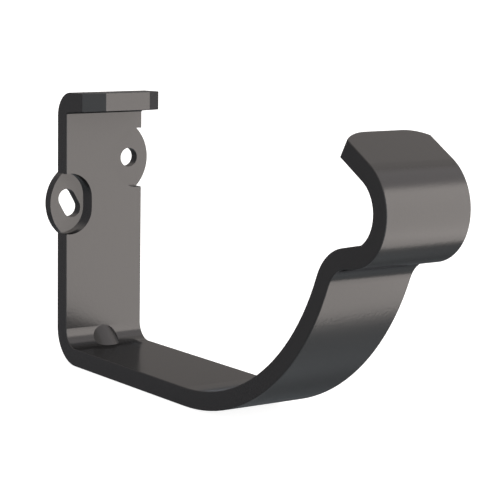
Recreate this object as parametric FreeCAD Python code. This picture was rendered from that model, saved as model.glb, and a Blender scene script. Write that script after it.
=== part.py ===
import FreeCAD, Part
import math
import os

# Gutter bracket: one cast strap that screws to a fascia board and carries a gutter.
# The strap runs down the wall, turns forward under the gutter, sweeps up round its
# front, steps out and closes over the gutter's front bead. A lip at the top holds the
# gutter's back edge. Two round pads behind the strap carry the two screws.
#
# Work coordinates: X forward from the strap's back face, Y along the board, Z up from
# the underside. The finished solid is moved so that its origin lies at the centre of
# the round fixing hole, on the fascia plane. All sizes are in millimetres.

# Strap
strap_width = 25.0
strap_thickness = 5.0
edge_radius = 0.3
inner_corner_radius = 0.6

# Bend between the wall leg and the floor
bend_inner_radius = 5.0

# Gutter cradle
cradle_radius = 60.0
cradle_centre_x = 67.0
cradle_end_angle = 22.0

# Step and ledge between the cradle and the hook
step_hollow_radius = 7.8
ledge_rise_angle = 4.5
ledge_taper_angle = 8.0
ledge_run = 1.7

# Hook that closes over the gutter's bead
bead_radius = 8.4
tip_angle = 30.0
tip_length = 12.1
tip_corner_run = 7.0
tip_corner_setback = 2.7

# Lip that holds the gutter's back edge
lip_height = 71.7
lip_reach = 17.8
lip_end_height = 4.9
lip_under_angle = 6.2
lip_top_angle = 1.7
lip_back_radius = 7.0
lip_corner_run = 5.4
lip_corner_setback = 3.9

# Pads that stand behind the strap, each set in from its screw towards the strap's middle
pad_radius = 11.6
pad_stand = 3.0
pad_set_in = 5.4

# Both pockets for the screws' heads have their middle a little above their screw's
pocket_rise = 0.4

# Round fixing hole by one edge of the strap, below the lip, in a pocket for its screw's head
hole_radius = 2.75
hole_edge_distance = 1.25
hole_drop = 13.9
hole_pocket_radius = 8.6

# Slanted adjusting slot by the other edge, below the hole, in a pocket that is taller than wide
slot_radius = 2.75
slot_travel = 3.2
slot_angle = 60.0
slot_edge_distance = 3.95
slot_drop = 12.3
slot_pocket_radius = 7.1
slot_pocket_travel = 3.2
slot_pocket_edge_distance = 1.35

# Rounded gusset across the hollow of the bend, its height taken from the hollow's middle
gusset_radius = 5.8
gusset_height = 1.5

# Overlap of cutting shapes past the faces that they cut, and of the gusset into the strap
clear = 1.0


def point(x, z):
    """A point of the side profile, on the strap's middle plane."""
    return FreeCAD.Vector(x, 0, z)


def polar(centre, radius, angle):
    """The point at this angle in degrees on a circle of the side profile."""
    turn = math.radians(angle)
    return point(centre.x + radius * math.cos(turn), centre.z + radius * math.sin(turn))


def arc(centre, radius, start, end):
    """An edge along a circle of the side profile, between two angles."""
    middle = polar(centre, radius, (start + end) / 2)
    curve = Part.Arc(polar(centre, radius, start), middle, polar(centre, radius, end))
    return curve.toShape()


def line(start, end):
    """A straight edge."""
    return Part.LineSegment(start, end).toShape()


def strap_profile():
    """The strap's side profile, as one closed face in the XZ plane.

    The outer line is followed from the lip's end, down the back, under the floor and
    up to the tip. The inner line comes back from the tip to the lip's end. The face
    comes with its two inner corners, the tip's end and the way that the tip points.
    """
    bend_outer_radius = bend_inner_radius + strap_thickness
    bend_centre = point(bend_outer_radius, bend_outer_radius)
    cradle_centre = point(cradle_centre_x, strap_thickness + cradle_radius)
    cradle_outer_radius = cradle_radius + strap_thickness
    bead_outer_radius = bead_radius + strap_thickness

    # The step turns about one centre, beyond the end of the cradle's arc
    step_distance = cradle_outer_radius + step_hollow_radius
    step_centre = polar(cradle_centre, step_distance, -cradle_end_angle)
    step_round_radius = step_hollow_radius + strap_thickness

    # Under the ledge, a short straight leaves the step's hollow and runs into the hook
    under_start = polar(step_centre, step_hollow_radius, 90 + ledge_rise_angle)
    under_end = polar(under_start, ledge_run, ledge_rise_angle)
    bead_centre = polar(under_end, bead_outer_radius, 90 + ledge_rise_angle)

    # On top, the ledge rises a little more steeply until it meets the hook's hollow
    top_angle = ledge_rise_angle + ledge_taper_angle
    ledge_start = polar(step_centre, step_round_radius, 90 + top_angle)
    slope = math.radians(top_angle)
    along = point(math.cos(slope), math.sin(slope))
    offset = ledge_start - bead_centre
    reach = -offset.dot(along)
    reach += math.sqrt(offset.dot(along) ** 2 - offset.dot(offset) + bead_radius ** 2)
    corner = ledge_start + along * reach
    corner_angle = math.degrees(math.atan2(corner.z - bead_centre.z, corner.x - bead_centre.x))

    # The tip leaves the bead in a straight line
    tip_turn = math.radians(tip_angle)
    tip_way = point(-math.cos(tip_turn), math.sin(tip_turn))
    tip_start = 90 - tip_angle
    tip_outer = polar(bead_centre, bead_outer_radius, tip_start) + tip_way * tip_length
    tip_inner = polar(bead_centre, bead_radius, tip_start) + tip_way * tip_length

    # The lip rises forward and gets thinner on its way, and its back corner is round
    under_rise = math.radians(lip_under_angle)
    top_rise = math.radians(lip_top_angle)
    lip_root = point(strap_thickness, lip_height)
    lip_under = point(lip_reach, lip_height + (lip_reach - strap_thickness) * math.tan(under_rise))
    lip_over = point(lip_reach, lip_under.z + lip_end_height)
    back_corner_z = lip_over.z - (lip_reach - lip_back_radius) * math.tan(top_rise)
    back_corner_z -= lip_back_radius / math.cos(top_rise)
    back_corner = point(lip_back_radius, back_corner_z)

    edges = [
        line(lip_under, lip_over),
        line(lip_over, polar(back_corner, lip_back_radius, 90 + lip_top_angle)),
        arc(back_corner, lip_back_radius, 90 + lip_top_angle, 180),
        line(polar(back_corner, lip_back_radius, 180), polar(bend_centre, bend_outer_radius, 180)),
        arc(bend_centre, bend_outer_radius, 180, 270),
        line(polar(bend_centre, bend_outer_radius, 270), polar(cradle_centre, cradle_outer_radius, 270)),
        arc(cradle_centre, cradle_outer_radius, 270, 360 - cradle_end_angle),
        arc(step_centre, step_hollow_radius, 180 - cradle_end_angle, 90 + ledge_rise_angle),
        line(under_start, under_end),
        arc(bead_centre, bead_outer_radius, ledge_rise_angle - 90, tip_start),
        line(polar(bead_centre, bead_outer_radius, tip_start), tip_outer),
        line(tip_outer, tip_inner),
        line(tip_inner, polar(bead_centre, bead_radius, tip_start)),
        arc(bead_centre, bead_radius, tip_start, corner_angle),
        line(corner, ledge_start),
        arc(step_centre, step_round_radius, 90 + top_angle, 180 - cradle_end_angle),
        arc(cradle_centre, cradle_radius, 360 - cradle_end_angle, 270),
        line(polar(cradle_centre, cradle_radius, 270), polar(bend_centre, bend_inner_radius, 270)),
        arc(bend_centre, bend_inner_radius, 270, 180),
        line(polar(bend_centre, bend_inner_radius, 180), lip_root),
        line(lip_root, lip_under),
    ]
    return Part.Face(Part.Wire(edges)), (lip_root, corner), tip_outer, tip_way


def lip_corner_cut(side):
    """The block that takes one slanted corner off the lip; side is 1 or -1."""
    half = side * strap_width / 2
    outside = side * clear
    low = lip_height - clear
    high = lip_height + lip_reach + lip_end_height
    slant = lip_corner_setback / lip_corner_run
    corners = [
        FreeCAD.Vector(lip_reach - lip_corner_setback - clear * slant, half + outside, low),
        FreeCAD.Vector(lip_reach + clear * slant, half - side * (lip_corner_run + clear), low),
        FreeCAD.Vector(lip_reach + lip_reach, half - side * (lip_corner_run + clear), low),
        FreeCAD.Vector(lip_reach + lip_reach, half + outside, low),
    ]
    face = Part.Face(Part.makePolygon(corners + [corners[0]]))
    return face.extrude(FreeCAD.Vector(0, 0, high - low))


def tip_corner_cut(side, tip_outer, tip_way):
    """The block that rounds one corner of the tip; side is 1 or -1.

    The corner is an arc that leaves the straight end smoothly and runs out through
    the strap's side.
    """
    radius = (tip_corner_run ** 2 + tip_corner_setback ** 2) / (2 * tip_corner_setback)
    start_y = strap_width / 2 - tip_corner_run
    sweep = math.asin(tip_corner_run / radius)

    def place(y, back):
        return FreeCAD.Vector(tip_outer.x, side * y, tip_outer.z) - tip_way * back

    def on_arc(turn):
        return place(start_y + radius * math.sin(turn), radius * (1 - math.cos(turn)))

    side_y = strap_width / 2
    corner = Part.Arc(on_arc(0), on_arc(sweep / 2), on_arc(sweep)).toShape()
    outside = [
        on_arc(sweep),
        place(side_y + clear, tip_corner_setback),
        place(side_y + clear, -clear),
        place(start_y, -clear),
        on_arc(0),
    ]
    face = Part.Face(Part.Wire([corner] + Part.makePolygon(outside).Edges))
    inward = FreeCAD.Vector(-tip_way.z, 0, tip_way.x)
    face.translate(inward * -clear)
    return face.extrude(inward * (strap_thickness + 2 * clear))


def obround(y, z, radius, travel, angle, from_x, to_x):
    """A slot-shaped bar along X: a circle moved by travel at this angle in the YZ plane."""
    turn = math.radians(angle)
    half = FreeCAD.Vector(0, math.cos(turn), math.sin(turn)) * (travel / 2)
    across = FreeCAD.Vector(0, -math.sin(turn), math.cos(turn)) * radius
    outward = FreeCAD.Vector(0, math.cos(turn), math.sin(turn)) * radius
    centre = FreeCAD.Vector(from_x, y, z)
    first = centre + half
    last = centre - half
    edges = [
        Part.LineSegment(last + across, first + across).toShape(),
        Part.Arc(first + across, first + outward, first - across).toShape(),
        Part.LineSegment(first - across, last - across).toShape(),
        Part.Arc(last - across, last - outward, last + across).toShape(),
    ]
    return Part.Face(Part.Wire(edges)).extrude(FreeCAD.Vector(to_x - from_x, 0, 0))


def rod(y, z, radius, from_x, to_x):
    """A round bar along X."""
    start = FreeCAD.Vector(from_x, y, z)
    return Part.makeCylinder(radius, to_x - from_x, start, FreeCAD.Vector(1, 0, 0))


def gusset():
    """The rounded rib that stiffens the bend: a round bar laid across its hollow at 45 degrees."""
    bend_centre = bend_inner_radius + strap_thickness
    ridge = bend_centre * math.sqrt(2) - bend_inner_radius + gusset_height
    middle = (ridge - gusset_radius) / math.sqrt(2)
    start = point(middle - bend_centre, middle + bend_centre)
    way = FreeCAD.Vector(1, 0, -1)
    bar = Part.makeCylinder(gusset_radius, 2 * math.sqrt(2) * bend_centre, start, way)
    root = strap_thickness - clear
    size = 2 * bend_centre
    corner = FreeCAD.Vector(root, -gusset_radius, root)
    return bar.common(Part.makeBox(size, 2 * gusset_radius, size, corner))


def cross_edges(shape, corners):
    """The edges that run across the strap through these corners of its profile."""
    chosen = []
    for edge in shape.Edges:
        middle = edge.CenterOfMass
        crosses = abs(edge.Length - strap_width) < 0.01
        if crosses and any(middle.distanceToPoint(corner) < 0.01 for corner in corners):
            chosen.append(edge)
    return chosen


def side_edges(shape):
    """The edges of the strap's two side faces, also where the lip and the tip are trimmed."""
    half = strap_width / 2
    chosen = []
    for face in shape.Faces:
        box = face.BoundBox
        if box.YLength < 0.01 and abs(abs(box.YMin) - half) < 0.01:
            chosen += face.Edges
    return chosen


def bracket():
    """The whole bracket as one solid, with its origin at the round fixing hole."""
    face, corners, tip_outer, tip_way = strap_profile()
    face.translate(FreeCAD.Vector(0, -strap_width / 2, 0))
    strap = face.extrude(FreeCAD.Vector(0, strap_width, 0))
    strap = strap.makeFillet(inner_corner_radius, cross_edges(strap, corners))
    trims = [lip_corner_cut(side) for side in (1, -1)]
    trims += [tip_corner_cut(side, tip_outer, tip_way) for side in (1, -1)]
    strap = strap.cut(trims)
    strap = strap.makeFillet(edge_radius, side_edges(strap))

    # Each screw is placed from its own edge of the strap and from the lip above it
    hole_y = strap_width / 2 - hole_edge_distance
    hole_z = lip_height - hole_drop
    slot_y = slot_edge_distance - strap_width / 2
    slot_z = hole_z - slot_drop
    slot_pocket_y = slot_pocket_edge_distance - strap_width / 2
    front = strap_thickness + clear
    pockets = [
        rod(hole_y, hole_z + pocket_rise, hole_pocket_radius, 0, front),
        obround(slot_pocket_y, slot_z + pocket_rise, slot_pocket_radius, slot_pocket_travel, 90, 0, front),
    ]
    strap = strap.cut(pockets)

    pads = [
        rod(hole_y - pad_set_in, hole_z, pad_radius, -pad_stand, 0),
        rod(slot_y + pad_set_in, slot_z, pad_radius, -pad_stand, 0),
    ]
    whole = strap.fuse(pads + [gusset()]).removeSplitter()

    screw_ways = [
        rod(hole_y, hole_z, hole_radius, -pad_stand - clear, clear),
        obround(slot_y, slot_z, slot_radius, slot_travel, -slot_angle, -pad_stand - clear, clear),
    ]
    whole = whole.cut(screw_ways)
    whole.translate(FreeCAD.Vector(pad_stand, -hole_y, -hole_z))
    return whole.Solids[0]


def main():
    os.makedirs("parts", exist_ok=True)
    solid = bracket()
    print("bracket: solids", len(solid.Solids), "valid", solid.isValid(), "volume", round(solid.Volume, 1))
    box = solid.optimalBoundingBox(False)
    print("size", round(box.XLength, 2), round(box.YLength, 2), round(box.ZLength, 2))
    middle = solid.CenterOfMass
    print("centre of mass", round(middle.x, 2), round(middle.y, 2), round(middle.z, 2))
    solid.exportStep("parts/bracket.step")


main()
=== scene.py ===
# %% [markdown]
# # A gutter bracket in satin dark paint
# This lesson dresses a finished CAD part for a studio picture. The part is one cast
# strap that screws to the edge of a roof and carries a rain gutter. Its shape is
# already whole, so the work here is what a painter and a photographer would do: the
# powder coat, the table that the bracket stands on, the light of the room and the camera.

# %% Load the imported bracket
import bpy
import math
import numpy as np
from collections import namedtuple
from mathutils import Matrix, Vector


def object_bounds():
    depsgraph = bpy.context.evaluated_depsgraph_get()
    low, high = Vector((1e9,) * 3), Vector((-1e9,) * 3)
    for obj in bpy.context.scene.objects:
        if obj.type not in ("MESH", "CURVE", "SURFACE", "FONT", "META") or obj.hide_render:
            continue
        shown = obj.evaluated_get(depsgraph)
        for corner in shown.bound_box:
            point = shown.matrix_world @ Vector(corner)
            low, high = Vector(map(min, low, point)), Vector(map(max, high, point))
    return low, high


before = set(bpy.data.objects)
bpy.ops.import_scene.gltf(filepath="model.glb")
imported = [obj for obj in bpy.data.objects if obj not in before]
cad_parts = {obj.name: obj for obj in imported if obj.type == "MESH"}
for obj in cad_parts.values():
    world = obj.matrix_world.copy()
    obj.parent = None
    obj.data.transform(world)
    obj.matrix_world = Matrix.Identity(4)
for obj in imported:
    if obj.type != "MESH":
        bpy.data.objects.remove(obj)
cad_low, cad_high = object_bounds()
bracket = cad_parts["bracket"]
print("bracket size in mm", [round((high - low) * 1000, 1) for low, high in zip(cad_low, cad_high)])

# %% [markdown]
# ## Places in millimetres
# The camera is placed in millimetres from the bracket's own origin, at the centre of its
# round fixing hole. Blender counts in metres, so one small helper turns a place in
# millimetres into a vector.

# %% Millimetres to metres
def place_mm(x, y, z):
    """A place given in millimetres, as a vector in metres."""
    return Vector((x, y, z)) / 1000


print("front of the bracket at", [round(value, 4) for value in place_mm(cad_high.x * 1000, 0, 0)])

# %% [markdown]
# ## Powder coat
# The casting is sprayed with dry paint powder and baked. The paint is a neutral, nearly
# black grey, and its gloss is soft: a lamp shows in it as a pale area with a blurred
# edge, not as a mirror image. A slightly rough dielectric shader gives that. It has no
# metal in it, because the light meets the paint and not the casting.
#
# Baked powder never lies quite flat. It dries with a fine skin like orange peel, so a
# noise pattern in the bracket's own coordinates drives a very shallow bump. A painted
# picture of the skin would look flat, because the skin only shows where it bends light.

# %% Mix the powder coat
def powder_coat(name, colour, roughness, grain_mm, depth_mm):
    """Dark satin paint: plain colour and gloss on the shader, and a noise bump for its skin."""
    coat = bpy.data.materials.new(name)
    coat.use_nodes = True
    nodes = coat.node_tree.nodes
    links = coat.node_tree.links
    paint = nodes["Principled BSDF"]
    paint.inputs["Base Color"].default_value = (*colour, 1)
    paint.inputs["Roughness"].default_value = roughness
    paint.inputs["Metallic"].default_value = 0
    paint.inputs["Specular IOR Level"].default_value = 0.5

    where = nodes.new("ShaderNodeTexCoord")
    skin = nodes.new("ShaderNodeTexNoise")
    skin.inputs["Scale"].default_value = 1000 / grain_mm
    skin.inputs["Detail"].default_value = 2
    bump = nodes.new("ShaderNodeBump")
    bump.inputs["Strength"].default_value = 1
    bump.inputs["Distance"].default_value = depth_mm / 1000
    links.new(where.outputs["Object"], skin.inputs["Vector"])
    links.new(skin.outputs["Fac"], bump.inputs["Height"])
    links.new(bump.outputs["Normal"], paint.inputs["Normal"])
    return coat


near_black = (0.026, 0.026, 0.026)
coat = powder_coat("dark satin powder coat", near_black, roughness=0.2, grain_mm=0.9, depth_mm=0.018)
print("mixed", coat.name)

# %% [markdown]
# ## Near walls in the gloss
# Each screw sits in a pocket, whose wall stands a few millimetres from the pad's face.
# A glossy face shows such a wall as a dark smear, but in the picture the two faces are
# evenly bright right up to the wall. More light can't mend that, because the wall hides
# the light from the face.
#
# So the paint lets through any mirror ray that has come less far than the reach given
# here. Light Path tells how far a ray has come and whether a mirror sent it, and the two
# answers multiplied choose a transparent shader. The camera's own rays and the light on
# the paint always meet the solid paint.

# %% Let near mirror rays through
def let_near_mirrors_through(coat, reach_mm):
    """Mix the paint with a transparent shader, for mirror rays that are shorter than the reach."""
    nodes = coat.node_tree.nodes
    links = coat.node_tree.links
    path = nodes.new("ShaderNodeLightPath")
    close = nodes.new("ShaderNodeMath")
    close.operation = "LESS_THAN"
    close.inputs[1].default_value = reach_mm / 1000
    skipped = nodes.new("ShaderNodeMath")
    skipped.operation = "MULTIPLY"
    clear = nodes.new("ShaderNodeBsdfTransparent")
    seen = nodes.new("ShaderNodeMixShader")
    links.new(path.outputs["Ray Length"], close.inputs[0])
    links.new(close.outputs["Value"], skipped.inputs[0])
    links.new(path.outputs["Is Glossy Ray"], skipped.inputs[1])
    links.new(skipped.outputs["Value"], seen.inputs["Fac"])
    links.new(nodes["Principled BSDF"].outputs["BSDF"], seen.inputs[1])
    links.new(clear.outputs["BSDF"], seen.inputs[2])
    links.new(seen.outputs["Shader"], nodes["Material Output"].inputs["Surface"])


let_near_mirrors_through(coat, reach_mm=6.5)
for slot in bracket.material_slots:
    slot.material = coat
print("coated", bracket.name, "with", len(bracket.data.polygons), "faces")

# %% [markdown]
# ## Table
# The bracket stands on its level floor, the part that lies under the gutter when it is
# in use. The table under it is a wide flat sheet of white paper. A plane from Blender's
# menu would do as well, but a sheet worked out from its edge line can be given a curve
# later. It lies a hair below the bracket, so that no two faces share one place.
#
# The paint doesn't mirror the table. Its plain white would wash over the strap's
# underside, which is dark in the picture.

# %% Make the table
def sheet_along(name, profile, half_width):
    """A ruled surface: each profile point (x, z) is repeated at y = -half_width and +half_width."""
    profile = np.asarray(profile, float)
    count = len(profile)
    sides = np.array([-half_width, half_width])
    points = np.empty((count, 2, 3))
    points[:, :, 0] = profile[:, None, 0]
    points[:, :, 1] = sides
    points[:, :, 2] = profile[:, None, 1]
    first = np.arange(count - 1) * 2
    faces = np.stack([first, first + 1, first + 3, first + 2], axis=1)
    mesh = bpy.data.meshes.new(name)
    mesh.from_pydata(points.reshape(-1, 3).tolist(), [], faces.tolist())
    mesh.update()
    sheet = bpy.data.objects.new(name, mesh)
    bpy.context.scene.collection.objects.link(sheet)
    return sheet


table_reach = 6
table_gap = 0.0002
table_top = cad_low.z - table_gap
table = sheet_along("table", [(-table_reach, table_top), (table_reach, table_top)], table_reach)
table.visible_glossy = False
print("table top at", round(table_top * 1000, 2), "mm")

# %% [markdown]
# ## Table paper
# The paper is matt and a middle grey to the light, so that it sends little light up
# at the bracket. For the camera alone it also glows, which lifts it to pure white and
# still leaves the bracket's faint shadow on it.

# %% Lay the paper
def table_paper(name, shade, glow):
    """Matt paper that also glows for the camera alone, so that lit paper is pure white."""
    paper = bpy.data.materials.new(name)
    paper.use_nodes = True
    nodes = paper.node_tree.nodes
    links = paper.node_tree.links
    nodes.clear()
    matt = nodes.new("ShaderNodeBsdfDiffuse")
    matt.inputs["Color"].default_value = (shade, shade, shade, 1)
    light = nodes.new("ShaderNodeEmission")
    light.inputs["Strength"].default_value = glow
    seen = nodes.new("ShaderNodeLightPath")
    glowing = nodes.new("ShaderNodeMixShader")
    both = nodes.new("ShaderNodeAddShader")
    dark = nodes.new("ShaderNodeEmission")
    dark.inputs["Strength"].default_value = 0
    end = nodes.new("ShaderNodeOutputMaterial")
    links.new(seen.outputs["Is Camera Ray"], glowing.inputs["Fac"])
    links.new(dark.outputs["Emission"], glowing.inputs[1])
    links.new(light.outputs["Emission"], glowing.inputs[2])
    links.new(matt.outputs["BSDF"], both.inputs[0])
    links.new(glowing.outputs["Shader"], both.inputs[1])
    links.new(both.outputs["Shader"], end.inputs["Surface"])
    return paper


table.data.materials.append(table_paper("white paper", shade=0.5, glow=0.9))
print("laid", table.data.materials[0].name)

# %% [markdown]
# ## Patches of light
# Satin paint is drawn by what it mirrors, more than by the light that falls on it. A
# photographer sets up boxes and cards of light for that. Here they are written straight
# into the world, as patches of light in a dim room, because a patch has no size or
# distance to get right and casts no hard shadow.
#
# A patch is given by its edges in degrees: the azimuth runs from straight ahead of the
# bracket towards its far side, and the height runs up from the level. Each edge is soft.

# %% Mask one patch
Patch = namedtuple("Patch", "sides levels soft colour glow")


def mask_of_patch(nodes, links, azimuth, height, patch):
    """Mask that is 1 between two azimuths and two heights and falls off over the soft edges."""
    mask = None
    half = patch.soft / 2
    for value, (low, high) in ((azimuth, patch.sides), (height, patch.levels)):
        for edge, way in ((low, 1), (high, -1)):
            step = nodes.new("ShaderNodeMapRange")
            step.interpolation_type = "SMOOTHSTEP"
            step.inputs["From Min"].default_value = math.radians(edge - way * half)
            step.inputs["From Max"].default_value = math.radians(edge + way * half)
            links.new(value, step.inputs["Value"])
            if mask is None:
                mask = step.outputs["Result"]
                continue
            both = nodes.new("ShaderNodeMath")
            both.operation = "MULTIPLY"
            links.new(mask, both.inputs[0])
            links.new(step.outputs["Result"], both.inputs[1])
            mask = both.outputs["Value"]
    return mask


def lit_by_patches(nodes, links, air, patches):
    """The dim colour of the room with each patch laid over it in turn, as one shader output."""
    where = nodes.new("ShaderNodeTexCoord")
    split = nodes.new("ShaderNodeSeparateXYZ")
    azimuth = nodes.new("ShaderNodeMath")
    azimuth.operation = "ARCTAN2"
    height = nodes.new("ShaderNodeMath")
    height.operation = "ARCSINE"
    links.new(where.outputs["Generated"], split.inputs["Vector"])
    links.new(split.outputs["Y"], azimuth.inputs[0])
    links.new(split.outputs["X"], azimuth.inputs[1])
    links.new(split.outputs["Z"], height.inputs[0])

    dim = nodes.new("ShaderNodeBackground")
    dim.inputs["Color"].default_value = (*air, 1)
    room = dim.outputs["Background"]
    for patch in patches:
        lit = nodes.new("ShaderNodeBackground")
        lit.inputs["Color"].default_value = (*patch.colour, 1)
        lit.inputs["Strength"].default_value = patch.glow
        choice = nodes.new("ShaderNodeMixShader")
        mask = mask_of_patch(nodes, links, azimuth.outputs["Value"], height.outputs["Value"], patch)
        links.new(mask, choice.inputs["Fac"])
        links.new(room, choice.inputs[1])
        links.new(lit.outputs["Background"], choice.inputs[2])
        room = choice.outputs["Shader"]
    return room


print("a patch has", ", ".join(Patch._fields))

# %% [markdown]
# ## Studio room
# The world answers three kinds of ray in its own way, and Light Path tells them apart:
#
# - The camera sees plain white, which makes the background of the picture.
# - A mirror ray sees the patches.
# - A ray on its second mirror bounce sees one even dim colour, so that no small bright
#   image of a patch turns up in the bracket's inner corners.

# %% Build the room
def studio_room(air, far_air, patches):
    """World made of a dim colour and patches of light. The camera sees it as plain white."""
    world = bpy.data.worlds.new("studio room")
    bpy.context.scene.world = world
    world.use_nodes = True
    nodes = world.node_tree.nodes
    links = world.node_tree.links
    nodes.clear()
    room = lit_by_patches(nodes, links, air, patches)

    # Glossy Depth counts 1 at the first mirror bounce and 2 at the second
    between_bounces = 1.5
    seen = nodes.new("ShaderNodeLightPath")
    second = nodes.new("ShaderNodeMath")
    second.operation = "GREATER_THAN"
    second.inputs[1].default_value = between_bounces
    even = nodes.new("ShaderNodeBackground")
    even.inputs["Color"].default_value = (*far_air, 1)
    faded = nodes.new("ShaderNodeMixShader")
    links.new(seen.outputs["Glossy Depth"], second.inputs[0])
    links.new(second.outputs["Value"], faded.inputs["Fac"])
    links.new(room, faded.inputs[1])
    links.new(even.outputs["Background"], faded.inputs[2])

    white = nodes.new("ShaderNodeBackground")
    white.inputs["Color"].default_value = (1, 1, 1, 1)
    to_camera = nodes.new("ShaderNodeMixShader")
    end = nodes.new("ShaderNodeOutputWorld")
    links.new(seen.outputs["Is Camera Ray"], to_camera.inputs["Fac"])
    links.new(faded.outputs["Shader"], to_camera.inputs[1])
    links.new(white.outputs["Background"], to_camera.inputs[2])
    links.new(to_camera.outputs["Shader"], end.inputs["Surface"])
    return world


dim_air = (0.225, 0.22, 0.235)
even_air = (0.4, 0.42, 0.47)
print("dim colour of the room", dim_air)

# %% [markdown]
# ## Studio light
# Every face of the bracket mirrors one direction to the camera, so each pale or dark
# area is one patch:
#
# - The wall leg, the lip's front and the middle of the hook look straight forward. They
#   mirror a tall soft box in front of the bracket, on the side away from the camera, and
#   turn pale. Its lowest part is weaker, which fades the light down the outside of the arc.
# - The hook's top and the tip mirror the light overhead, which is brighter in front.
# - The level floor mirrors a dim warm wall behind the bracket, and darker air under it.
# - The underside and the foot of the arc mirror the cool dim room below.
# - The near sides mirror nothing bright. A broad cool patch on their own side lights
#   them evenly, so they show the colour of the paint itself.
#
# The list has an order: a later patch lies over the earlier ones.

# %% Light the room
all_round = (-200, 200)
warm = (1.0, 0.93, 0.89)
pale = (1.0, 0.94, 0.95)
cool = (0.87, 0.94, 1.0)
patches = [
    # Wall behind the bracket, and two nested dark patches under it
    Patch(sides=(112, 179), levels=(3, 45), soft=3, colour=warm, glow=0.265),
    Patch(sides=(122, 179), levels=(-39, 4), soft=5, colour=cool, glow=0.11),
    Patch(sides=(122, 179), levels=(-27, 2), soft=6, colour=cool, glow=0.055),
    # Room below the level, and straight under the bracket
    Patch(sides=all_round, levels=(-120, -16), soft=12, colour=cool, glow=0.14),
    Patch(sides=all_round, levels=(-120, -47), soft=10, colour=cool, glow=0.42),
    # Near side of the room
    Patch(sides=(-90, 0), levels=(-45, 45), soft=20, colour=cool, glow=0.9),
    # Light overhead, all round and then in front
    Patch(sides=all_round, levels=(30, 120), soft=8, colour=warm, glow=0.76),
    Patch(sides=(-40, 88), levels=(30, 120), soft=10, colour=pale, glow=1.22),
    # Soft box, whole and then without its weaker lowest part
    Patch(sides=(0, 72), levels=(-57, 34), soft=7, colour=warm, glow=3.2),
    Patch(sides=(0, 72), levels=(-40, 34), soft=10, colour=warm, glow=4.2),
]
room = studio_room(dim_air, even_air, patches)
print(room.name, "has", len(patches), "patches of light")

# %% [markdown]
# ## Camera
# The picture was taken with a long lens from in front and a little above, with the
# camera turned by about one degree. The place, the point that it looks at and the lens
# were worked out from the bracket's straight edges and arcs. Parallel edges close in on
# each other only a little, which a short lens from nearby could not give.

# %% Place the camera
def long_lens(stands, aims, roll_degrees, lens_mm):
    """Camera at one place that looks at another, turned about its own line of sight."""
    data = bpy.data.cameras.new("camera")
    data.sensor_width = 36
    data.lens = lens_mm
    data.clip_start = 0.01
    data.clip_end = 50
    camera = bpy.data.objects.new("camera", data)
    bpy.context.scene.collection.objects.link(camera)
    turn = (aims - stands).to_track_quat("-Z", "Y").to_matrix()
    roll = Matrix.Rotation(math.radians(roll_degrees), 3, "Z")
    camera.matrix_world = Matrix.Translation(stands) @ (turn @ roll).to_4x4()
    bpy.context.scene.camera = camera
    return camera


camera_stands = place_mm(474.55, -288.92, 57.05)
camera_aims = place_mm(80.85, -11.14, -16.12)
camera = long_lens(camera_stands, camera_aims, roll_degrees=0.97, lens_mm=136.9)
bpy.context.scene.view_settings.view_transform = "Standard"
print("camera stands", round((camera_stands - camera_aims).length * 1000), "mm away, lens", camera.data.lens)
